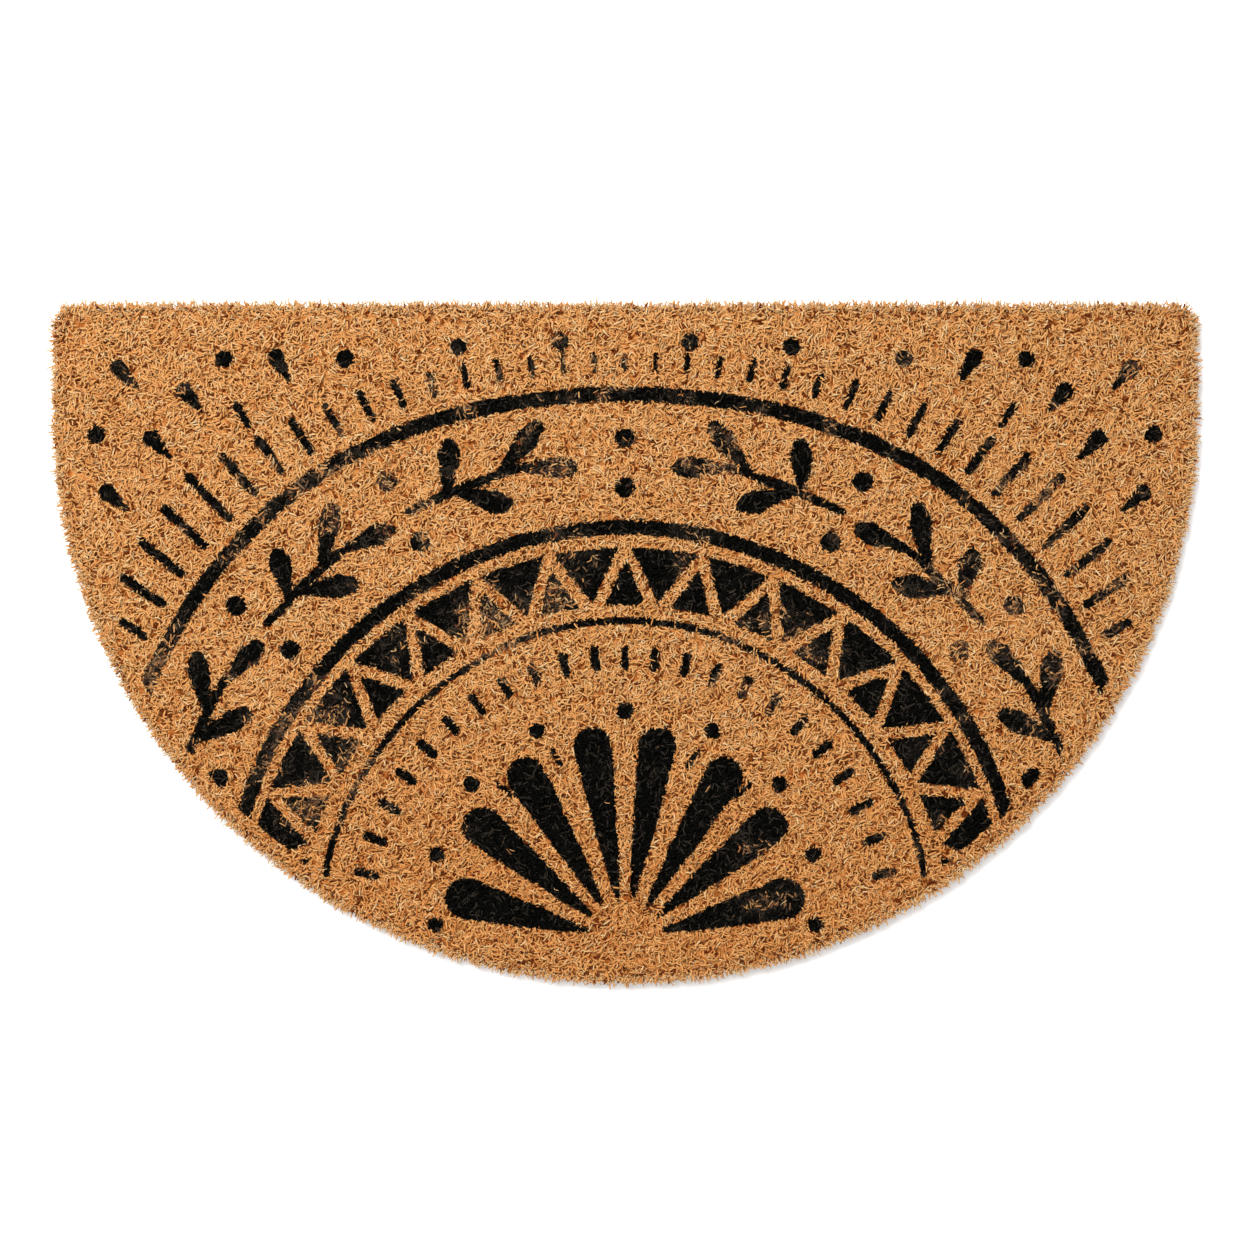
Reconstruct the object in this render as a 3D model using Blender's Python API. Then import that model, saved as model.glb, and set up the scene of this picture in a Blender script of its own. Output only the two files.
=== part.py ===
"""Half-round coir door mat: a pile of coir tufts standing in a flexible vinyl backing.

Metres, +Z up. The origin is at the middle of the underside, and +Y points to the straight edge,
which lies along the door sill. The two parts are cut to one outline: a straight sill edge, two
short straight sides and a half circle.
"""

import math

import bpy

# Driving dimensions
WIDTH = 0.750  # along the sill, over the splayed pile
DEPTH = 0.445  # from the sill edge to the front of the half circle, over the splayed pile
THICKNESS = 0.015  # the whole mat, with nobody standing on it
BACKING_THICKNESS = 0.003
SPLAY = 0.004  # how far the cut pile leans out past the backing all round
CORNER_RADIUS = 0.014  # of the two sill corners, over the pile
GAP = 0.0003  # between the backing's top and the underside of the pile

# Worked out
FRONT_RADIUS = WIDTH / 2
SILL_Y = DEPTH / 2
ARC_CENTRE_Y = FRONT_RADIUS - DEPTH / 2
PILE_BOTTOM = BACKING_THICKNESS + GAP

ARC_STEPS = 24  # facets to each quarter of a circle
SPLAY_STEPS = 3  # facets to the rounded rim of the pile
QUARTER_HANDLE = 4 / 3 * (math.sqrt(2) - 1)  # of a Bezier quarter circle, in radii


def clear_scene():
    for old in list(bpy.data.objects):
        bpy.data.objects.remove(old, do_unlink=True)


def make_material(name, colour, roughness):
    material = bpy.data.materials.new(name)
    material.use_nodes = True
    shader = material.node_tree.nodes["Principled BSDF"]
    shader.inputs["Base Color"].default_value = (*colour, 1.0)
    shader.inputs["Roughness"].default_value = roughness
    shader.inputs["Metallic"].default_value = 0.0
    return material


def outline_knots(inset):
    """The knots of the outline, each (x, y, radius of the arc that follows it or None, its heading).

    They run anticlockwise from the front end of the right side.
    """
    half = WIDTH / 2 - inset
    sill = SILL_Y - inset
    corner = CORNER_RADIUS - inset
    front = ARC_CENTRE_Y - half
    north, west, south, east = (0, 1), (-1, 0), (0, -1), (1, 0)
    return [
        (half, ARC_CENTRE_Y, None, north),
        (half, sill - corner, corner, north),
        (half - corner, sill, None, west),
        (corner - half, sill, corner, west),
        (-half, sill - corner, None, south),
        (-half, ARC_CENTRE_Y, half, south),
        (0.0, front, half, east),
    ]


def outline_curve(name, inset):
    """A filled flat curve of the mat's outline, with its arcs as Bezier quarter circles."""
    knots = outline_knots(inset)
    curve = bpy.data.curves.new(name, "CURVE")
    curve.dimensions = "2D"
    curve.fill_mode = "BOTH"
    curve.resolution_u = ARC_STEPS
    spline = curve.splines.new("BEZIER")
    spline.bezier_points.add(len(knots) - 1)
    spline.use_cyclic_u = True
    for i, (x, y, radius, heading) in enumerate(knots):
        point = spline.bezier_points[i]
        point.handle_left_type = point.handle_right_type = "FREE"
        point.co = (x, y, 0)
        before = knots[i - 1][2]
        ahead = (radius or 0) * QUARTER_HANDLE
        behind = (before or 0) * QUARTER_HANDLE
        point.handle_right = (x + heading[0] * ahead, y + heading[1] * ahead, 0)
        point.handle_left = (x - heading[0] * behind, y - heading[1] * behind, 0)
    return curve


def place(curve, bottom, height, collection, material):
    """Stands a curve's solid on the height bottom and returns its object."""
    solid = bpy.data.objects.new(curve.name, curve)
    solid.location.z = bottom + height / 2
    solid.data.materials.append(material)
    collection.objects.link(solid)
    return solid


def make_backing(collection):
    """The flat vinyl sheet that the pile stands in."""
    curve = outline_curve("vinyl_backing", SPLAY)
    curve.extrude = BACKING_THICKNESS / 2
    vinyl = make_material("black_vinyl", (0.03, 0.03, 0.032), 0.6)
    return place(curve, 0.0, BACKING_THICKNESS, collection, vinyl)


def make_pile(collection):
    """The brush of coir tufts, as one block whose rim is rounded out over the backing."""
    height = THICKNESS - PILE_BOTTOM
    curve = outline_curve("coir_pile", SPLAY)
    curve.extrude = height / 2 - SPLAY
    curve.bevel_depth = SPLAY
    curve.bevel_resolution = SPLAY_STEPS
    coir = make_material("natural_coir", (0.53, 0.29, 0.12), 0.85)
    return place(curve, PILE_BOTTOM, height, collection, coir)


def main():
    clear_scene()
    collection = bpy.data.collections.new("door_mat")
    bpy.context.scene.collection.children.link(collection)
    make_backing(collection)
    make_pile(collection)


main()
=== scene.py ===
import math

import bpy
import numpy as np
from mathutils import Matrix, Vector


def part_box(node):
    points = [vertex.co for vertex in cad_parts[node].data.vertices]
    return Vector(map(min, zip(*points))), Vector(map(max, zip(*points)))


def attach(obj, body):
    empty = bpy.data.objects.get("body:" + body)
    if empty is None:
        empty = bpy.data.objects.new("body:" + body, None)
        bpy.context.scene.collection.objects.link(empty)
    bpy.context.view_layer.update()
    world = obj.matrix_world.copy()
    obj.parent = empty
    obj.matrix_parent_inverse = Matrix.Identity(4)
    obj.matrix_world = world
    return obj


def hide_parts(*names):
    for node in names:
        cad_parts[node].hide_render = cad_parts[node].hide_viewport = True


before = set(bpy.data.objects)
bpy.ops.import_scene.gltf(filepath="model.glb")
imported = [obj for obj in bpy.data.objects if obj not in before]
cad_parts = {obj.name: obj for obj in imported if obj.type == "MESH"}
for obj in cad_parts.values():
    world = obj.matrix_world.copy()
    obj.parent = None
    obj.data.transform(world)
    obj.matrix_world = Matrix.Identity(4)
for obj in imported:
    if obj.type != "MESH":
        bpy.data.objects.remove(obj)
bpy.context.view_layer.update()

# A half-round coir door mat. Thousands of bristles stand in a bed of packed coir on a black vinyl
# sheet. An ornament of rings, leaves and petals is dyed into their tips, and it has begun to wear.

# ---------------------------------------------------------------- sizes, in metres

PILE_LOW, PILE_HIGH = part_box("coir_pile")
SHEET_LOW, SHEET_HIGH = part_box("vinyl_backing")

FRONT_RADIUS = (PILE_HIGH[0] - PILE_LOW[0]) / 2
SILL_Y = PILE_HIGH[1]
ARC_Y = PILE_LOW[1] + FRONT_RADIUS  # where the half circle meets the straight sides
TOP = PILE_HIGH[2]
SHEET_TOP = SHEET_HIGH[2]
CORNER = 0.014  # radius of the two sill corners
MM = 0.001

BED_TOP = TOP - 4.2 * MM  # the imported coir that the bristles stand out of
BED_INSET = 3.6 * MM  # from the pile's outline, at the top
BED_SLANT = 3 * MM  # and how much further in it is at its foot
BED_GRID = 2 * MM  # spacing of its vertices

BRISTLE_PITCH = 1.56 * MM  # between the roots of two bristles, on average
BRISTLE_WIDTH = 1.12 * MM
FACE_INSET = 3.2 * MM  # from the outline to the outermost bristle of the face
COMBED_SHARE = 0.4  # of the face's bristles: they lean the way their neighbours do
HOOKED_SHARE = 0.4
# painted shade: a share of dark bristles, shorter and sunk a little, stands in for the shaded slits
# between bristles
SLIT_SHADE_SHARE = 0.2  # dark ones
# pale bristles: bleached coir, and at the same time painted highlight strokes
BLEACHED_AND_HIGHLIGHT_SHARE = 0.08
EDGE_PITCH = 0.84 * MM  # between the bristles that stand round the rim
EDGE_BAND = (4.3 * MM, 8 * MM)  # how far in from the outline they are rooted
WHISKER_PITCH = 4.2 * MM
WHISKER_WIDTH = 0.5 * MM
WHISKER_BAND = (3 * MM, 6 * MM)
MOST_BRISTLES = 10500  # in one piece

INK_MARGIN = 12 * MM  # no dye nearer the edge than this
FAN_Y = PILE_LOW[1] + 36 * MM  # the centre that the ornament's rings are drawn round


def outline_inset(x, y, corner=CORNER):
    """How far points are inside the pile's outline: below zero outside it."""
    front = FRONT_RADIUS - np.hypot(x, y - ARC_Y)
    past_x = np.abs(x) - (FRONT_RADIUS - corner)
    past_y = y - (SILL_Y - corner)
    in_corner = (past_x > 0) & (past_y > 0)
    straight = np.minimum(FRONT_RADIUS - np.abs(x), SILL_Y - y)
    sides = np.where(in_corner, corner - np.hypot(past_x, past_y), straight)
    return np.where(y < ARC_Y, front, sides)


def outward(x, y):
    """The heading, in radians, that leads straight out over the nearest edge."""
    step = 0.5 * MM
    slope_x = outline_inset(x + step, y) - outline_inset(x - step, y)
    slope_y = outline_inset(x, y + step) - outline_inset(x, y - step)
    return np.arctan2(-slope_y, -slope_x)


def eased(t):
    t = np.clip(t, 0, 1)
    return t * t * (3 - 2 * t)


def drift(x, y, grain, seed):
    """Smooth random values from -1 to 1 over the mat, in patches about as wide as grain."""
    table = np.random.default_rng(seed).uniform(-1, 1, (256, 256))
    u = x / grain + 128
    v = y / grain + 128
    i = np.floor(u).astype(int)
    j = np.floor(v).astype(int)
    s = eased(u - i)
    t = eased(v - j)
    near = table[i % 256, j % 256] * (1 - s) + table[(i + 1) % 256, j % 256] * s
    far = table[i % 256, (j + 1) % 256] * (1 - s) + table[(i + 1) % 256, (j + 1) % 256] * s
    return near * (1 - t) + far * t


# ---------------------------------------------------------------- the ornament

CELL = 0.5 * MM  # the stencil's squares
STENCIL_X = 0.380  # half its width
STENCIL_Y = 0.230  # half its depth

THIN_RING = 201 * MM
THIN_WIDTH = 4.6 * MM
MIDDLE_RING = 262 * MM
MIDDLE_WIDTH = 9.9 * MM
OUTER_RING = 353.8 * MM
OUTER_WIDTH = 10.2 * MM
RING_WOBBLE = 4.6 * MM  # the outer ring is drawn a little flat at its crown and its feet
SPRIG_ARC = 307.5 * MM
TRIANGLE_FEET = 211 * MM
TRIANGLE_HEADS = 249 * MM
TRIANGLE_TURN = math.radians(11.55)  # from one small triangle to the next
WAVER = 0.8  # how unsteadily the stencil is cut, in millimetres
PETAL_DOT = 5.4 * MM
SPRIG_DOT = 6.9 * MM
OUTER_DOT = 5.9 * MM


def polar(radius, degrees):
    """The point at this distance from the fan's centre, turned this far from the middle line."""
    turn = math.radians(degrees)
    return radius * math.sin(turn), radius * math.cos(turn)


def waver(x, y, seed):
    """How far the stencil strays here, in metres: in slow sweeps and small shakes."""
    return (drift(x, y, 60 * MM, seed) + drift(x, y, 9 * MM, seed + 1) / 4) * WAVER * MM


class Stencil:
    """Where the dye goes on the right half of the mat: depth is how far a square is inside a motif."""

    def __init__(self):
        across = np.arange(0, STENCIL_X, CELL) + CELL / 2
        along = np.arange(-STENCIL_Y, STENCIL_Y, CELL) + CELL / 2
        self.flat_x, self.flat_y = np.meshgrid(across, along)
        self.x = self.flat_x + waver(self.flat_x, self.flat_y, 11)
        self.y = self.flat_y + waver(self.flat_x, self.flat_y, 13) - FAN_Y
        self.radius = np.hypot(self.x, self.y)
        self.turn = np.arctan2(self.x, self.y)
        self.depth = np.full(self.x.shape, -1.0)

    def add(self, depth):
        self.depth = np.maximum(self.depth, depth)

    def ring(self, radius, width):
        self.add(width / 2 - np.abs(self.radius - radius))

    def spot(self, centre, radius):
        self.add(radius - np.hypot(self.x - centre[0], self.y - centre[1]))

    def drop(self, tail, head, tail_radius, head_radius, belly=1.0):
        """A stroke from tail to head that widens on the way: a dash, a leaf or a petal."""
        run_x = head[0] - tail[0]
        run_y = head[1] - tail[1]
        t = ((self.x - tail[0]) * run_x + (self.y - tail[1]) * run_y) / (run_x**2 + run_y**2)
        t = np.clip(t, 0, 1)
        off = np.hypot(self.x - tail[0] - t * run_x, self.y - tail[1] - t * run_y)
        self.add(tail_radius + (head_radius - tail_radius) * t**belly - off)

    def triangle(self, turn, base, tip, half_base):
        """A triangle between two rings, with its base on the ring of radius base."""
        rise = (self.radius - base) / (tip - base)
        side = half_base * (1 - rise) - np.abs(self.turn - turn) * self.radius
        self.add(np.minimum(side * 0.87, np.minimum(rise, 1 - rise) * abs(tip - base)))

    def leaf(self, root, far, fat):
        """An oval leaf with a narrow foot at root. It reaches just to the point far."""
        length = math.dist(root, far)
        ahead = ((far[0] - root[0]) / length, (far[1] - root[1]) / length)
        tip = 0.72 * fat
        belly, end = (
            (root[0] + reach * ahead[0], root[1] + reach * ahead[1])
            for reach in (0.68 * length, length - tip)
        )
        self.drop(root, belly, 2.8 * MM, fat, 1.2)
        self.drop(belly, end, fat, tip)


def outer_ring_radius(turn):
    return OUTER_RING - RING_WOBBLE * np.cos(4.8 * turn)


def draw_rings(s):
    s.ring(THIN_RING - 2.5 * MM * eased(s.turn / 0.9), THIN_WIDTH)
    s.ring(MIDDLE_RING - 2 * MM * eased(s.turn / 1.3), MIDDLE_WIDTH)
    s.ring(outer_ring_radius(s.turn), OUTER_WIDTH)


def draw_triangles(s):
    for k in range(8):
        s.triangle(k * TRIANGLE_TURN, TRIANGLE_FEET, 240 * MM, 13.6 * MM)
        s.triangle((k + 0.5) * TRIANGLE_TURN, TRIANGLE_HEADS, 213 * MM, 22.3 * MM)


# For each petal on one side: how far its point and its head are turned from the middle line, how far
# they are from the fan's centre, and the radius of the head.
PETALS = (
    (11.7, 20, 9.9, 120, 12.8),
    (43.3, 21, 33.1, 118, 13.0),
    (68.6, 23, 54.5, 115, 13.0),
    (93.0, 25, 79.2, 106.5, 13.6),
)


def draw_petals(s):
    for tail_turn, tail, head_turn, head, fat in PETALS:
        s.drop(polar(tail * MM, tail_turn), polar(head * MM, head_turn), 1.3 * MM, fat * MM, 0.8)
    for k in range(5):
        s.spot(polar((142 - 1.05 * k * k) * MM, 24.6 * k - 0.6 * k * k), PETAL_DOT)
    for turn in (22, 41):
        s.drop(polar(113 * MM, turn - 0.8), polar(125 * MM, turn + 0.3), 1.4 * MM, 2.0 * MM)


def draw_short_dashes(s):
    for k in range(12):
        turn = 6.3 * k + 0.073 * k * k
        inner = (171.5 - 0.42 * k) * MM
        s.drop(polar(inner, turn), polar(inner + 11 * MM, turn), 2.9 * MM, 3.0 * MM)


def draw_rays(s):
    """The long dashes outside the outer ring. They grow from the middle line to the shoulders."""
    for k in range(18):
        turn = 3.15 * k + 0.018 * k * k
        inner = outer_ring_radius(math.radians(turn)) + 16 * MM
        length = np.interp(k, (0, 6, 11, 13, 16, 17), (10, 14, 25, 38, 30, 16)) * MM
        wide = np.interp(k, (0, 6, 12), (1.8, 2.4, 3.1)) * MM
        s.drop(polar(inner, turn), polar(inner + length, turn), wide, wide)
    s.drop(polar(411 * MM, 36.8), polar(426 * MM, 36.6), 2.2 * MM, 2.8 * MM)


def draw_outer_marks(s):
    """Dots and drops beyond the rays."""
    for turn, radius in ((6.4, 386), (16, 395), (26.1, 416), (35.2, 456), (46.9, 474)):
        s.spot(polar(radius * MM, turn), OUTER_DOT)
    for turn, tail in ((31.5, 421), (39.3, 438), (42.1, 477), (44, 430), (49.9, 426)):
        s.drop(polar(tail * MM, turn), polar((tail + 17) * MM, turn), 1.6 * MM, OUTER_DOT)


# For each sprig: how far its foot is turned from the middle line, its length, and its side leaves.
# A leaf leaves the stem at root and ends at tip, both along the stem, and out says how far off it.
SPRIGS = (
    (27.8, 118, ((30, 44, 33), (35, 70, -23), (66, 98, 28))),
    (50.1, 109, ((24, 40, 31), (31, 67, -23), (53, 84, 30))),
    (68.6, 90, ((31, 61, 28), (12, 46, -26))),
)


def on_sprig(foot, along, out):
    """The point this far along a sprig from its foot, and this far off its stem."""
    return polar(SPRIG_ARC + out * MM, foot - math.degrees(along * MM / SPRIG_ARC))


def draw_sprig(s, foot, length, leaves):
    bend = on_sprig(foot, length / 3, 0)
    neck = on_sprig(foot, length - 38, 1)
    s.drop(on_sprig(foot, 2, 0), bend, 2.7 * MM, 3.4 * MM)
    s.drop(bend, neck, 3.4 * MM, 2.8 * MM)
    s.leaf(neck, on_sprig(foot, length, -5), 7.5 * MM)
    for root, tip, out in leaves:
        s.leaf(on_sprig(foot, root, 0), on_sprig(foot, tip, out), 7.9 * MM)


def draw_sprigs(s):
    """Leafy sprigs along one arc, each with its foot away from the middle line, and dots between."""
    for foot, length, leaves in SPRIGS:
        draw_sprig(s, foot, length, leaves)
    for turn in (0, 28, 50.4, 69.8):
        s.spot(polar((288 - 0.07 * turn) * MM, turn), SPRIG_DOT)
    for turn, radius in ((0, 320.5), (28, 331), (50.4, 331)):
        s.spot(polar(radius * MM, turn), SPRIG_DOT)


def draw_ornament():
    """How far every square of the mat is inside the ornament, in millimetres: below zero outside."""
    s = Stencil()
    draw_rings(s)
    draw_triangles(s)
    draw_petals(s)
    draw_short_dashes(s)
    draw_rays(s)
    draw_outer_marks(s)
    draw_sprigs(s)
    ragged_margin = INK_MARGIN + 1.5 * MM * drift(s.flat_x, s.flat_y, 12 * MM, 15)
    depth = np.minimum(s.depth, outline_inset(s.flat_x, s.flat_y) - ragged_margin)
    half = np.clip(depth / MM, -4, 4)
    return np.concatenate((half[:, ::-1], half), axis=1)


ORNAMENT = draw_ornament()


def ink_depth(x, y):
    """How far points on the mat are inside the ornament, in millimetres."""
    column = np.clip((x + STENCIL_X) / CELL - 0.5, 0, ORNAMENT.shape[1] - 1.001)
    row = np.clip((y + STENCIL_Y) / CELL - 0.5, 0, ORNAMENT.shape[0] - 1.001)
    i = row.astype(int)
    j = column.astype(int)
    s = row - i
    t = column - j
    near = ORNAMENT[i, j] * (1 - t) + ORNAMENT[i, j + 1] * t
    far = ORNAMENT[i + 1, j] * (1 - t) + ORNAMENT[i + 1, j + 1] * t
    return near * (1 - s) + far * s


def wear_at(x, y):
    """How far feet have worn the dye, from 0 to 1.

    It is worn in patches, most on the left of the band of triangles and least on the petals. The small
    marks, which are the dashes, the sprigs and all that is further out, are scuffed besides.
    """
    radius = np.hypot(x, y - FAN_Y)
    broad = 0.6 * drift(x, y, 45 * MM, 21)
    patches = broad + 0.5 * drift(x, y, 17 * MM, 22) + 0.35 * drift(x, y, 5 * MM, 23)
    band = eased(1.6 - np.abs(radius - 235 * MM) / (30 * MM))
    left = eased(0.5 - x / 0.35)
    petals = eased(3 - radius / (55 * MM))
    small_marks = eased((radius - 270 * MM) / (8 * MM)) + (np.abs(radius - 175 * MM) < 16 * MM)
    scuffs = small_marks * eased((drift(x, y, 7 * MM, 24) - 0.1) / 0.4)
    wear = 1.3 * patches + 0.45 * band * left + 0.2 * left - 0.3 * petals - 0.14 + 0.68 * scuffs
    return np.clip(wear, 0, 1)


# ---------------------------------------------------------------- bristles


def select_none():
    bpy.ops.object.select_all(action="DESELECT")


def select_where(piece, wanted):
    """In edit mode, selects the faces whose centre makes wanted true, and nothing else."""
    bpy.ops.object.mode_set(mode="OBJECT")
    mesh = piece.data
    for group in (mesh.vertices, mesh.edges, mesh.polygons):
        group.foreach_set("select", np.zeros(len(group), bool))
    for face in mesh.polygons:
        face.select = wanted(face)
    bpy.ops.object.mode_set(mode="EDIT")


def model_bristle(name, stations):
    """One bristle on end at the origin, a unit long and a unit in radius, with a point at each end.

    stations holds how far along it each ring is and how wide it is there.
    """
    select_none()
    first, wide = stations[0]
    bpy.ops.mesh.primitive_cone_add(
        vertices=3, radius1=0, radius2=wide, depth=first, location=(0, 0, first / 2)
    )
    bristle = bpy.context.object
    bristle.name = name
    bpy.ops.object.transform_apply(location=True, rotation=True, scale=True)
    bpy.ops.object.mode_set(mode="EDIT")
    bpy.ops.mesh.select_mode(type="FACE")
    select_where(bristle, lambda face: face.normal.z > 0.9)
    for along, new_wide in stations[1:]:
        bpy.ops.mesh.extrude_region_move(TRANSFORM_OT_translate={"value": (0, 0, along - first)})
        scale = new_wide / wide
        bpy.ops.transform.resize(value=(scale, scale, 1), center_override=(0, 0, along))
        first, wide = along, new_wide
    bpy.ops.mesh.extrude_region_move(TRANSFORM_OT_translate={"value": (0, 0, 1 - first)})
    bpy.ops.mesh.merge(type="CENTER")
    bpy.ops.object.mode_set(mode="OBJECT")
    return bristle


def points_of(mesh):
    points = np.empty((len(mesh.vertices), 3), np.float32)
    mesh.vertices.foreach_get("co", points.reshape(-1))
    return points


class Pattern:
    """A modelled bristle as plain arrays, ready to be copied along many curves."""

    def __init__(self, name, stations):
        bristle = model_bristle(name, stations)
        mesh = bristle.data
        self.points = points_of(mesh).astype(float)
        self.corners = np.empty(len(mesh.loops), int)
        mesh.loops.foreach_get("vertex_index", self.corners)
        self.starts = np.empty(len(mesh.polygons), int)
        mesh.polygons.foreach_get("loop_start", self.starts)
        self.levels, self.level_of = np.unique(np.round(self.points[:, 2], 4), return_inverse=True)
        self.chart = self.unrolled(mesh)
        bpy.data.objects.remove(bristle)
        bpy.data.meshes.remove(mesh)

    def unrolled(self, mesh):
        """Each corner's place on the bristle's skin: how far round it, and how far along."""
        places = np.empty((len(mesh.loops), 2))
        for face in mesh.polygons:
            middle = math.atan2(face.center.y, face.center.x)
            side = round(middle / math.tau * 3 - 0.5) % 3
            for loop in face.loop_indices:
                x, y, z = mesh.vertices[mesh.loops[loop].vertex_index].co
                swing = math.remainder(math.atan2(y, x) - middle, math.tau)
                edge = 0.5 if math.hypot(x, y) < 0.001 else float(swing > 0)
                places[loop] = (side + edge) / 3, z
        return places


BENT = Pattern("bent_bristle", ((0.4, 1.0), (0.9, 0.85)))
CURLED = Pattern("curled_bristle", ((0.3, 1.0), (0.62, 1.0), (0.92, 0.8)))
EXPORT_MAP = "OFBake"  # the map that baked colours go to


def laid(pattern, b):
    """The points of one bristle for each row of b, bent along a curve of its own."""
    step = np.diff(pattern.levels, prepend=0)
    middle = pattern.levels - step / 2
    rise = b["rise"][:, None] + (b["droop"] - b["rise"])[:, None] * eased(middle * 1.15)[None]
    heading = b["heading"][:, None] + b["curl"][:, None] * middle[None] ** 1.3
    stride = b["length"][:, None] * step[None]
    centre = np.stack(
        (
            b["x"][:, None] + np.cumsum(stride * np.cos(rise) * np.cos(heading), axis=1),
            b["y"][:, None] + np.cumsum(stride * np.cos(rise) * np.sin(heading), axis=1),
            b["z"][:, None] + np.cumsum(stride * np.sin(rise), axis=1),
        ),
        axis=2,
    )
    flat = np.zeros_like(heading)
    tilt = -np.sin(rise)
    side = np.stack((-np.sin(heading), np.cos(heading), flat), axis=2)
    up = np.stack((np.cos(heading) * tilt, np.sin(heading) * tilt, np.cos(rise)), axis=2)
    cross = pattern.points[:, :2]
    half = -b["width"][:, None, None] / 2  # below zero turns a flat side up
    at = pattern.level_of
    return centre[:, at] + half * (cross[None, :, :1] * side[:, at] + cross[None, :, 1:] * up[:, at])


def strew(name, pattern, b):
    """A piece made of one copied bristle for each row of b."""
    count = len(b["x"])
    points = laid(pattern, b)
    size = len(pattern.points)
    corners = pattern.corners[None] + (np.arange(count) * size)[:, None]
    starts = pattern.starts[None] + (np.arange(count) * len(pattern.corners))[:, None]
    mesh = bpy.data.meshes.new(name)
    mesh.vertices.add(count * size)
    mesh.vertices.foreach_set("co", points.reshape(-1))
    mesh.loops.add(corners.size)
    mesh.loops.foreach_set("vertex_index", corners.reshape(-1))
    mesh.polygons.add(starts.size)
    mesh.polygons.foreach_set("loop_start", starts.reshape(-1))
    mesh.update(calc_edges=True)
    mesh.shade_smooth()
    along = pattern.points[:, 2]
    write(mesh, "depth", ink_depth(points[..., 0], points[..., 1]) + b["stray"][:, None])
    write(mesh, "ink", np.repeat(b["ink"], size))
    write(mesh, "tone", np.repeat(b["tone"], size))
    write(mesh, "along", np.tile(along, count))
    give_cells(mesh, pattern, count)
    piece = bpy.data.objects.new(name, mesh)
    bpy.context.scene.collection.objects.link(piece)
    return piece


def write(mesh, name, values):
    layer = mesh.attributes.new(name, "FLOAT", "POINT")
    layer.data.foreach_set("value", np.ascontiguousarray(values, np.float32).reshape(-1))


def give_cells(mesh, pattern, count):
    """Gives each bristle a square of its own on the map, so that no colour runs into its neighbour."""
    across = math.ceil(math.sqrt(count))
    number = np.arange(count)
    corner = np.stack((number % across, number // across), axis=1)
    places = (corner[:, None] + 0.12 + 0.76 * pattern.chart[None]) / across
    layer = mesh.uv_layers.new(name=EXPORT_MAP)
    layer.uv.foreach_set("vector", np.ascontiguousarray(places, np.float32).reshape(-1))


def scattered(pitch, rng):
    """Points over the mat's whole box, about one to each square of the size pitch."""
    columns = np.arange(PILE_LOW[0], PILE_HIGH[0], pitch)
    rows = np.arange(PILE_LOW[1], PILE_HIGH[1], pitch)
    x, y = np.meshgrid(columns, rows)
    x = x.reshape(-1) + pitch * rng.uniform(0, 1, x.size)
    y = y.reshape(-1) + pitch * rng.uniform(0, 1, y.size)
    return x, y


def some(b, chosen):
    """The bristles of b that are chosen."""
    return {key: values[chosen] for key, values in b.items()}


def strayed(rng, count):
    """How far the dye runs past its motif on each bristle, in millimetres, or stops short of it."""
    return rng.normal(0, 0.65, count)


def faded(worn, rng):
    """How much dye each bristle keeps: less where it is worn, almost none at the heart of a patch."""
    count = len(worn)
    luck = rng.random(count)
    worn_off = luck < 0.62 * eased((worn - 0.35) / 0.65) + 0.003
    kept = 1 - 0.25 * worn * rng.random(count) - 0.15 * (rng.random(count) < 0.22)
    return np.where(worn_off, rng.uniform(0.55 - 0.55 * worn, 0.72), kept)


def shades(rng, count):
    """A shade for each bristle: most are near the middle, some are dark as painted shade for the slits
    between bristles, and some are pale, both bleached coir and painted highlight strokes.
    """
    kind = rng.random(count)
    shade = rng.normal(0.52, 0.085, count)
    shade = np.where(kind < SLIT_SHADE_SHARE, rng.uniform(-0.3, 0.08, count), shade)
    return np.where(kind > 1 - BLEACHED_AND_HIGHLIGHT_SHARE, rng.uniform(0.65, 0.9, count), shade)


def pale_shades(rng, count):
    return rng.uniform(0.4, 0.95, count)


def face_roots(rng):
    x, y = scattered(BRISTLE_PITCH, rng)
    inset = outline_inset(x, y)
    keep = inset > FACE_INSET
    return x[keep], y[keep], inset[keep]


def face_headings(x, y, inset, rng):
    """Which way each bristle of the face leans: with its neighbours, any way, or out over the rim."""
    count = len(x)
    loose = rng.uniform(0, math.tau, count)
    combed = (drift(x, y, 8 * MM, 42) + drift(x, y, 30 * MM, 45)) * math.pi
    heading = np.where(rng.random(count) < COMBED_SHARE, combed + rng.normal(0, 0.45, count), loose)
    out = outward(x, y) + rng.normal(0, 1.0, count)
    leans_out = rng.random(count) < 0.5 * eased((8 * MM - inset) / (4 * MM))
    return np.where(leans_out, out, heading)


def face_lengths(slit_shade, near_rim, rng):
    """How long each bristle of the face is: the dark ones that paint the shade of slits and those by
    the rim are short.
    """
    count = len(slit_shade)
    length = np.where(slit_shade, rng.uniform(5.2, 6.8, count), rng.uniform(6.4, 9.8, count))
    return np.where(near_rim, rng.uniform(5.2, 7.4, count), length) * MM


def dye_face(b, rng):
    """Settles each bristle's dye by where the middle of its run lies."""
    run = 0.62 * b["length"]
    middle_x = b["x"] + run * np.cos(b["heading"])
    middle_y = b["y"] + run * np.sin(b["heading"])
    b["ink"] = faded(wear_at(middle_x, middle_y), rng)
    b["dyed"] = ink_depth(middle_x, middle_y) > 0


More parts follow.
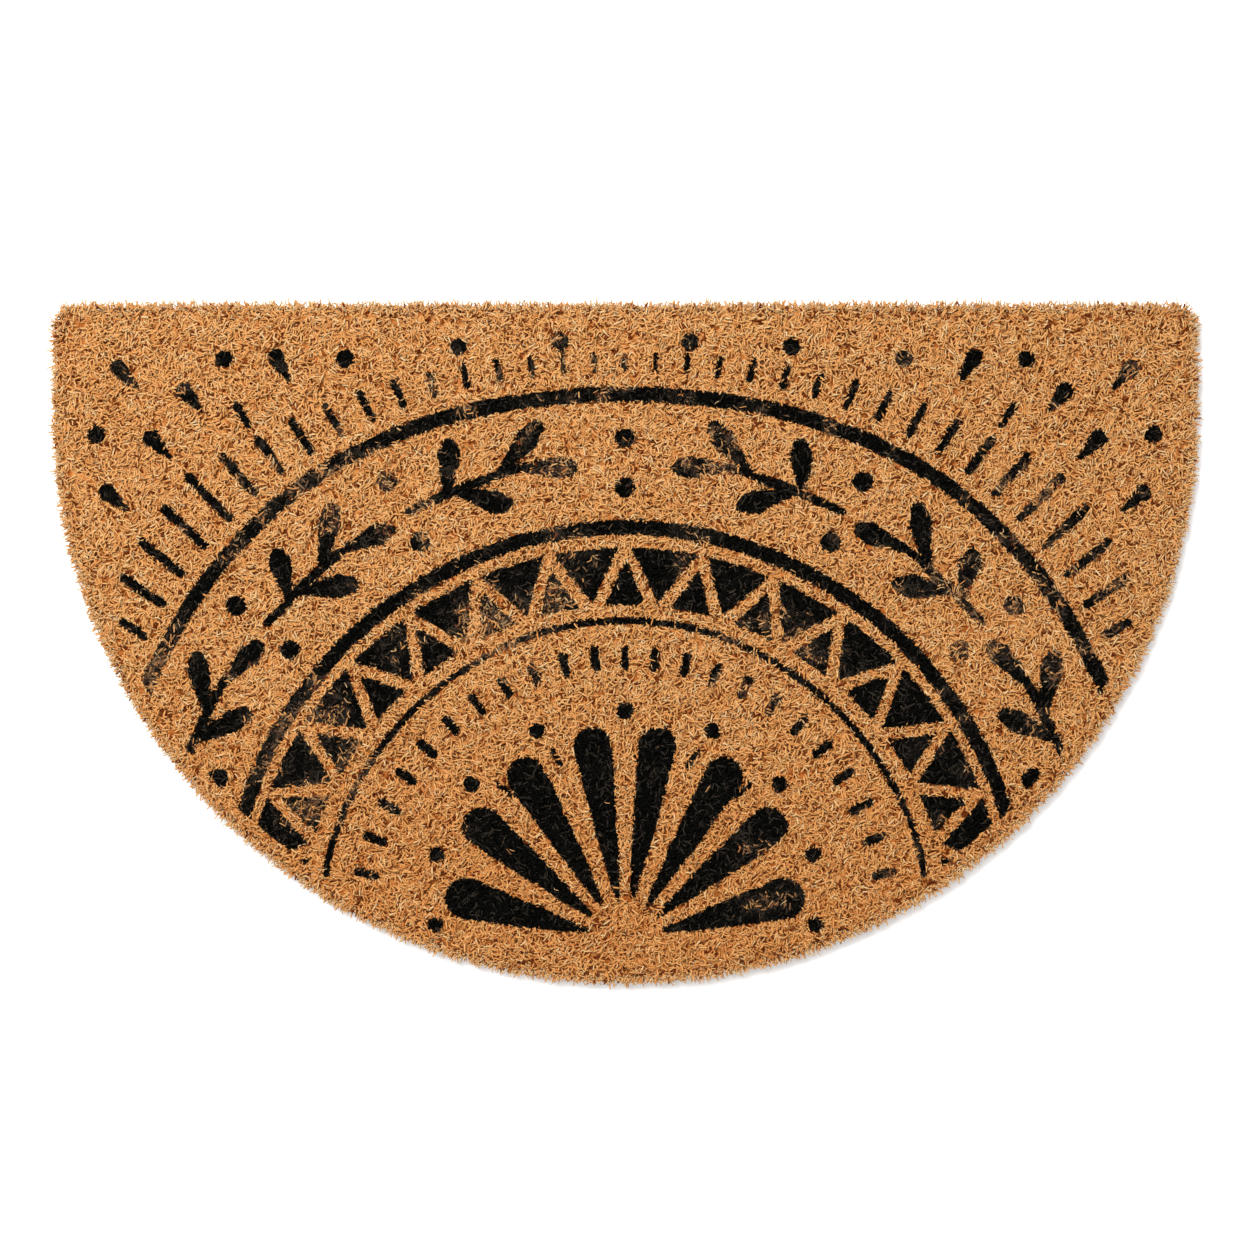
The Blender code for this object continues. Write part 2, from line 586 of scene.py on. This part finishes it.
def face_bristles():
    """The bristles of the mat's face: short ends that lie over each other in locks and hooks."""
    rng = np.random.default_rng(41)
    x, y, inset = face_roots(rng)
    count = len(x)
    heading = face_headings(x, y, inset, rng)
    hooked = rng.random(count) < HOOKED_SHARE
    lump = 0.5 * drift(x, y, 11 * MM, 43) + 0.4 * drift(x, y, 4 * MM, 44)
    # painted shade: the face is made a little darker towards the front, which is further from the lamp
    tone = shades(rng, count) - 0.07 * eased((0.02 - y) / 0.2)  # the front is a little darker
    # painted shade: the darkest bristles stand in for the shaded slits between bristles, so they are
    # shorter and sunk a little
    slit_shade = tone < 0.2
    length = face_lengths(slit_shade, inset < 7 * MM, rng)
    foot = BED_TOP - 1.4 * MM + 0.7 * MM * lump
    b = {
        "x": x,
        "y": y,
        "z": foot + rng.normal(0, 0.35 * MM, count) - 0.1 * MM * slit_shade,
        "heading": heading,
        "rise": np.radians(rng.uniform(50, 78, count)),
        "droop": np.radians(rng.normal(0, 12, count)),
        "curl": np.where(hooked, rng.normal(0, 2.8, count), rng.normal(0, 0.85, count)),
        "length": length,
        "width": BRISTLE_WIDTH * (rng.uniform(0.7, 1.3, count) + 0.25 * slit_shade),
        "tone": tone,
        "stray": strayed(rng, count),
        "hooked": hooked,
    }
    dye_face(b, rng)
    return b


def rim_bristles():
    """The bristles that stand round the rim, from the sheet to the top."""
    rng = np.random.default_rng(51)
    x, y = scattered(EDGE_PITCH, rng)
    inset = outline_inset(x, y)
    keep = (inset > EDGE_BAND[0]) & (inset < EDGE_BAND[1])
    x, y = x[keep], y[keep]
    count = len(x)
    tuft = drift(x, y, 3.5 * MM, 52)
    return {
        "x": x,
        "y": y,
        "z": SHEET_TOP + 0.4 * MM + rng.uniform(0, 0.5 * MM, count),
        "heading": outward(x, y) + 0.9 * drift(x, y, 4 * MM, 53) + rng.normal(0, 0.55, count),
        "rise": np.radians(rng.normal(69, 6, count)),
        "droop": np.radians(36 - 8 * tuft + rng.normal(0, 15, count)),
        "curl": rng.normal(0, 1.5, count),
        "length": (11.6 + 0.4 * tuft + rng.normal(0, 0.9, count)) * MM,
        "width": BRISTLE_WIDTH * rng.uniform(0.65, 1.1, count),
        "tone": pale_shades(rng, count),
        "ink": np.zeros(count),
        "stray": np.zeros(count),
    }


def whiskers():
    """Loose ends that stand out past the rim, and a few that stick up from the face."""
    rng = np.random.default_rng(61)
    x, y = scattered(WHISKER_PITCH, rng)
    inset = outline_inset(x, y)
    rim = inset < WHISKER_BAND[1]
    keep = (inset > WHISKER_BAND[0]) & (rim | (rng.random(len(x)) < 0.05))
    x, y, rim = x[keep], y[keep], rim[keep]
    count = len(x)
    out = outward(x, y)
    return {
        "x": x,
        "y": y,
        "z": np.where(rim, rng.uniform(7, 12, count), 11) * MM,
        "heading": np.where(rim, out + rng.normal(0, 0.7, count), rng.uniform(0, 6.3, count)),
        "rise": np.radians(np.where(rim, rng.normal(20, 14, count), 60)),
        "droop": np.radians(np.where(rim, rng.normal(5, 14, count), 15)),
        "curl": rng.normal(0, 1.2, count),
        "length": np.where(rim, 4 + 5 * rng.random(count) ** 2, rng.uniform(6, 9, count)) * MM,
        "width": WHISKER_WIDTH * rng.uniform(0.7, 1.2, count),
        "tone": rng.normal(0.7, 0.15, count),
        "ink": (rng.random(count) < 0.8).astype(float),
        "stray": np.zeros(count),
    }


# ---------------------------------------------------------------- solid pieces


def lay_grid():
    """A flat grid over the mat's whole box, at the height of the bed's top."""
    select_none()
    columns = round((PILE_HIGH[0] - PILE_LOW[0]) / BED_GRID)
    rows = round((PILE_HIGH[1] - PILE_LOW[1]) / BED_GRID)
    bpy.ops.mesh.primitive_grid_add(x_subdivisions=columns, y_subdivisions=rows, size=1)
    bed = bpy.context.object
    bed.scale = (columns * BED_GRID, rows * BED_GRID, 1)
    bed.location = (0, (PILE_LOW[1] + PILE_HIGH[1]) / 2, BED_TOP)
    bpy.ops.object.transform_apply(location=True, rotation=True, scale=True)
    return bed


def trim_to_outline(bed):
    """Cuts away what is past the bed's edge, and leaves the bed in edit mode."""
    mesh = bed.data
    x, y = points_of(mesh)[:, :2].T
    outside = outline_inset(x, y) < BED_INSET
    bpy.ops.object.mode_set(mode="EDIT")
    bpy.ops.mesh.select_mode(type="VERT")
    bpy.ops.object.mode_set(mode="OBJECT")
    mesh.polygons.foreach_set("select", np.zeros(len(mesh.polygons), bool))
    mesh.edges.foreach_set("select", np.zeros(len(mesh.edges), bool))
    mesh.vertices.foreach_set("select", outside)
    bpy.ops.object.mode_set(mode="EDIT")
    bpy.ops.mesh.delete(type="VERT")


def model_bed():
    """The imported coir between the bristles: a low block with a lumpy top."""
    bed = lay_grid()
    bed.name = "coir_bed"
    trim_to_outline(bed)
    drop = SHEET_TOP + 0.3 * MM - BED_TOP
    bpy.ops.mesh.select_mode(type="EDGE")
    bpy.ops.mesh.select_non_manifold()
    bpy.ops.mesh.extrude_edges_move(TRANSFORM_OT_translate={"value": (0, 0, drop)})
    bpy.ops.mesh.edge_face_add()
    bpy.ops.object.mode_set(mode="OBJECT")
    shape_bed(bed.data)
    return bed


def shape_bed(mesh):
    """Raises the bed's top into lumps, draws its foot in, writes down where it is dyed and paints shade
    into its hollows and sides.
    """
    points = points_of(mesh)
    x, y, z = points.T.copy()
    top = z > BED_TOP - MM
    slant = np.where(top, 0, BED_SLANT)
    points[:, 0] = x - slant * np.cos(outward(x, y))
    points[:, 1] = y - slant * np.sin(outward(x, y))
    lumps = 0.9 * drift(x, y, 3.4 * MM, 31) + 0.6 * drift(x, y, 8 * MM, 32)
    shoulder = 1.2 * MM * eased((7 * MM - outline_inset(x, y)) / (4 * MM))
    points[:, 2] = np.where(top, z + lumps * MM - shoulder, z)
    mesh.vertices.foreach_set("co", points.reshape(-1))
    write(mesh, "depth", np.where(top, ink_depth(x, y), -4))
    write(mesh, "ink", 1 - 0.4 * wear_at(x, y))
    write(mesh, "tone", 0.35 + 0.3 * drift(x, y, 4 * MM, 33))
    # painted shade: the bed's top is darkened as a bristle is at its root, more in the hollows between
    # lumps, and its sides most
    write(mesh, "along", np.where(top, 0.3 + 0.12 * lumps, 0.1))
    mesh.shade_smooth()
    mesh.update()


def model_sheet():
    """The vinyl sheet: half a disc with short straight sides, softened at its rims."""
    select_none()
    radius = (SHEET_HIGH[0] - SHEET_LOW[0]) / 2
    thickness = SHEET_TOP - SHEET_LOW[2]
    bpy.ops.mesh.primitive_circle_add(
        vertices=256, radius=radius, fill_type="NGON", location=(0, ARC_Y, 0)
    )
    sheet = bpy.context.object
    sheet.name = "backing_sheet"
    bpy.ops.object.transform_apply(location=True, rotation=True, scale=True)
    bpy.ops.object.mode_set(mode="EDIT")
    bpy.ops.mesh.select_all(action="SELECT")
    bpy.ops.mesh.bisect(plane_co=(0, ARC_Y, 0), plane_no=(0, 1, 0), clear_outer=True)
    bpy.ops.mesh.select_mode(type="EDGE")
    select_edges(sheet, lambda a, b: min(a.y, b.y) > ARC_Y - MM / 10)
    bpy.ops.mesh.extrude_region_move(TRANSFORM_OT_translate={"value": (0, SHEET_HIGH[1] - ARC_Y, 0)})
    bpy.ops.mesh.select_all(action="SELECT")
    bpy.ops.mesh.dissolve_limited(angle_limit=0.001)
    select_points(sheet, lambda point: point.y > SHEET_HIGH[1] - MM)
    bpy.ops.mesh.bevel(offset=CORNER - 4 * MM, segments=8, affect="VERTICES")
    bpy.ops.mesh.select_all(action="SELECT")
    bpy.ops.mesh.extrude_region_move(TRANSFORM_OT_translate={"value": (0, 0, thickness)})
    bpy.ops.mesh.select_all(action="SELECT")
    bpy.ops.mesh.normals_make_consistent(inside=False)
    bpy.ops.mesh.select_mode(type="EDGE")
    select_edges(sheet, lambda a, b: abs(a.z - b.z) < MM / 10)
    bpy.ops.mesh.bevel(offset=0.35 * MM, segments=2, affect="EDGES")
    bpy.ops.object.mode_set(mode="OBJECT")
    bpy.ops.object.shade_smooth_by_angle(angle=math.radians(50))
    return sheet


def select_points(piece, wanted):
    bpy.ops.mesh.select_mode(type="VERT")
    bpy.ops.mesh.select_all(action="DESELECT")
    bpy.ops.object.mode_set(mode="OBJECT")
    for vertex in piece.data.vertices:
        vertex.select = wanted(vertex.co)
    bpy.ops.object.mode_set(mode="EDIT")


def select_edges(piece, wanted):
    bpy.ops.mesh.select_all(action="DESELECT")
    bpy.ops.object.mode_set(mode="OBJECT")
    points = piece.data.vertices
    for edge in piece.data.edges:
        a, b = edge.vertices
        edge.select = wanted(points[a].co, points[b].co)
    bpy.ops.object.mode_set(mode="EDIT")


# ---------------------------------------------------------------- materials


class Amount:
    """A number that varies over a surface. Sums and products on it add the nodes that work them out."""

    def __init__(self, finish, socket):
        self.finish = finish
        self.socket = socket

    def _maths(self, operation, first, second):
        node = self.finish.add("ShaderNodeMath", {"operation": operation}, {0: first, 1: second})
        return Amount(self.finish, node.outputs[0])

    def __add__(self, other):
        return self._maths("ADD", self, other)

    def __sub__(self, other):
        return self._maths("SUBTRACT", self, other)

    def __rsub__(self, other):
        return self._maths("SUBTRACT", other, self)

    def __mul__(self, other):
        return self._maths("MULTIPLY", self, other)

    def kept_between(self, low, high):
        return self._maths("MINIMUM", self._maths("MAXIMUM", self, low), high)

    __radd__ = __add__
    __rmul__ = __mul__


class Finish:
    """A material under construction."""

    def __init__(self, name):
        self.material = bpy.data.materials.new(name)
        self.material.use_nodes = True
        self.nodes = self.material.node_tree.nodes
        self.links = self.material.node_tree.links
        self.shader = self.nodes["Principled BSDF"]

    def add(self, kind, settings=None, inputs=None):
        node = self.nodes.new(kind)
        for key, value in (settings or {}).items():
            if key == "stops":
                set_stops(node.color_ramp, value)
            else:
                setattr(node, key, value)
        for key, value in (inputs or {}).items():
            self.feed(node.inputs[key], value)
        return node

    def feed(self, socket, value):
        if isinstance(value, Amount):
            value = value.socket
        if isinstance(value, bpy.types.NodeSocket):
            self.links.new(value, socket)
        else:
            socket.default_value = value

    def attribute(self, name):
        return Amount(self, self.add("ShaderNodeAttribute", {"attribute_name": name}).outputs["Fac"])

    def noise(self, scale, detail=2.0, stretch=(1, 1, 1), turn=0.0):
        place = self.add("ShaderNodeTexCoord").outputs["Object"]
        if stretch != (1, 1, 1) or turn:
            laid_out = {"Vector": place, "Scale": stretch, "Rotation": (0, 0, turn)}
            place = self.add("ShaderNodeMapping", None, laid_out).outputs[0]
        node = self.add("ShaderNodeTexNoise", None, {"Vector": place, "Scale": scale, "Detail": detail})
        return Amount(self, node.outputs[0])

    def ramp(self, amount, stops):
        return self.add("ShaderNodeValToRGB", {"stops": stops}, {"Fac": amount}).outputs["Color"]

    def mix(self, amount, first, second, blend="MIX"):
        settings = {"data_type": "RGBA", "blend_type": blend}
        node = self.add("ShaderNodeMix", settings, {0: amount, 6: first, 7: second})
        return node.outputs[2]

    def bump(self, height, distance, strength=1.0):
        values = {"Strength": strength, "Distance": distance, "Height": height}
        return self.add("ShaderNodeBump", None, values).outputs[0]

    def coat(self, **sockets):
        for name, value in sockets.items():
            self.feed(self.shader.inputs[name.replace("_", " ")], value)
        return self.material


def set_stops(ramp, stops):
    while len(ramp.elements) < len(stops):
        ramp.elements.new(1.0)
    for element, (place, colour) in zip(ramp.elements, stops):
        element.position = place
        element.color = (*colour, 1)


STRAW = (0.53, 0.38, 0.2)
TAN = (0.52, 0.247, 0.078)
BROWN = (0.37, 0.11, 0.021)
UMBER = (0.11, 0.02, 0.003)
INK = (0.0016, 0.0016, 0.0012)
FADED_INK = (0.055, 0.042, 0.031)
COIR_SHADES = ((0.12, UMBER), (0.3, BROWN), (0.52, TAN), (0.85, STRAW))
FLECKS = 1400  # to the metre
FIBRES = 420


def coir_finish(name, gloss=0.05, matted=False):
    """Coir: straw to brown from bristle to bristle, with painted shade darkening it towards the root,
    and black where it is dyed.
    """
    f = Finish(name)
    tone = f.attribute("tone")
    along = f.attribute("along")
    flecks = f.noise(FLECKS, 1.0)
    shade = tone * 0.8 + flecks * 0.2
    coir = f.ramp(shade, COIR_SHADES)
    # painted shade: each bristle darkens towards its root, as it goes down among its neighbours
    root = (1 - along * 2.2).kept_between(0, 1)
    coir = f.mix(root * 0.9, coir, (*UMBER, 1))
    kept = f.attribute("ink")
    fading = (1 - kept) * 2.4 + (flecks - 0.6) * 0.5
    ink = f.ramp(fading, ((0.0, INK), (1.0, FADED_INK)))
    inside = (f.attribute("depth") * 2.5 + 0.5).kept_between(0, 1)
    inked = inside * (kept * 1.3).kept_between(0, 1)
    if matted:
        fibres = f.noise(FIBRES, 3.0, (1, 0.25, 1), 0.6) + f.noise(FIBRES, 3.0, (0.25, 1, 1), 0.3)
        f.coat(Normal=f.bump(fibres, 0.6 * MM))
    colour = f.mix(inked, coir, ink)
    return f.coat(Base_Color=colour, Roughness=0.75, Specular_IOR_Level=gloss)


def vinyl_finish():
    """Black vinyl with a fine pebbled grain."""
    f = Finish("black_vinyl")
    grain = f.noise(900, 3.0)
    scuffs = f.noise(35, 4.0)
    colour = f.ramp(scuffs, ((0.35, (0.022, 0.022, 0.024)), (0.7, (0.04, 0.039, 0.038))))
    roughness = 0.5 + scuffs * 0.25
    return f.coat(Base_Color=colour, Roughness=roughness, Normal=f.bump(grain, 0.15 * MM))


def paper_finish():
    f = Finish("pale_floor")
    return f.coat(Base_Color=(0.93, 0.93, 0.93, 1), Roughness=0.9, Specular_IOR_Level=0.0)


# ---------------------------------------------------------------- assembly


def finish_piece(piece, material, node):
    piece.data.materials.clear()
    piece.data.materials.append(material)
    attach(piece, "root")
    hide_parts(node)


def strew_in_pieces(name, pattern, b, material):
    """Strews the bristles in as many pieces as they need, as bands from the front to the sill."""
    count = len(b["x"])
    if not count:
        return
    order = np.argsort(b["y"], kind="stable")
    for number, chosen in enumerate(np.array_split(order, math.ceil(count / MOST_BRISTLES)), 1):
        piece = strew(f"{name}_{number}", pattern, some(b, chosen))
        finish_piece(piece, material, "coir_pile")


def make_sheet():
    sheet = model_sheet()
    finish_piece(sheet, vinyl_finish(), "vinyl_backing")


def make_pile():
    natural = coir_finish("natural_coir")
    dyed = coir_finish("dyed_coir", gloss=0.03)
    matted = coir_finish("matted_coir", gloss=0.0, matted=True)
    finish_piece(model_bed(), matted, "coir_pile")
    face = face_bristles()
    for kind, pattern, chosen in (("curled", CURLED, face["hooked"]), ("bent", BENT, ~face["hooked"])):
        plain_ones = some(face, chosen & ~face["dyed"])
        dyed_ones = some(face, chosen & face["dyed"])
        strew_in_pieces(f"{kind}_bristles", pattern, plain_ones, natural)
        strew_in_pieces(f"{kind}_dyed_bristles", pattern, dyed_ones, dyed)
    strew_in_pieces("rim_bristles", CURLED, rim_bristles(), natural)
    strew_in_pieces("whiskers", CURLED, whiskers(), natural)


LAMP_PLACE = (-0.7, 0.95, 2.1)
LAMP_TILT = (math.radians(-24), math.radians(-17), 0)
LAMP_WIDTH = 1.4
LAMP_WATTS = 76
LENS = 100  # the camera's, in millimetres
FILM = 36
VIEW_WIDTH = 0.820  # of floor in the picture
VIEW_RIGHT = 0.0013  # from the mat's middle to the picture's
VIEW_BACK = 0.0108


def make_stage():
    """A pale floor and a soft lamp from behind the mat's left."""
    select_none()
    bpy.ops.mesh.primitive_plane_add(size=12, location=(0, 0, -0.3 * MM))
    floor = bpy.context.object
    floor.name = "floor"
    floor.data.materials.append(paper_finish())
    world = bpy.data.worlds.new("soft_light")
    world.use_nodes = True
    sky = world.node_tree.nodes["Background"].inputs
    sky["Color"].default_value = (1, 1, 1, 1)
    sky["Strength"].default_value = 1.0
    scene = bpy.context.scene
    scene.world = world
    lamp = bpy.data.lights.new("softbox", "AREA")
    lamp.shape = "DISK"
    lamp.size = LAMP_WIDTH
    lamp.energy = LAMP_WATTS
    holder = bpy.data.objects.new("softbox", lamp)
    holder.location = LAMP_PLACE
    holder.rotation_euler = LAMP_TILT
    scene.collection.objects.link(holder)
    scene.view_settings.view_transform = "Standard"
    scene.view_settings.look = "None"


def make_camera():
    """Straight above the mat, so far up that it looks flat."""
    camera = bpy.data.cameras.new("above")
    camera.lens = LENS
    camera.sensor_width = FILM
    holder = bpy.data.objects.new("above", camera)
    middle_y = (PILE_LOW[1] + PILE_HIGH[1]) / 2
    holder.location = (VIEW_RIGHT, middle_y + VIEW_BACK, TOP + VIEW_WIDTH * LENS / FILM)
    bpy.context.scene.collection.objects.link(holder)
    bpy.context.scene.camera = holder


make_camera()
make_sheet()
make_pile()
make_stage()
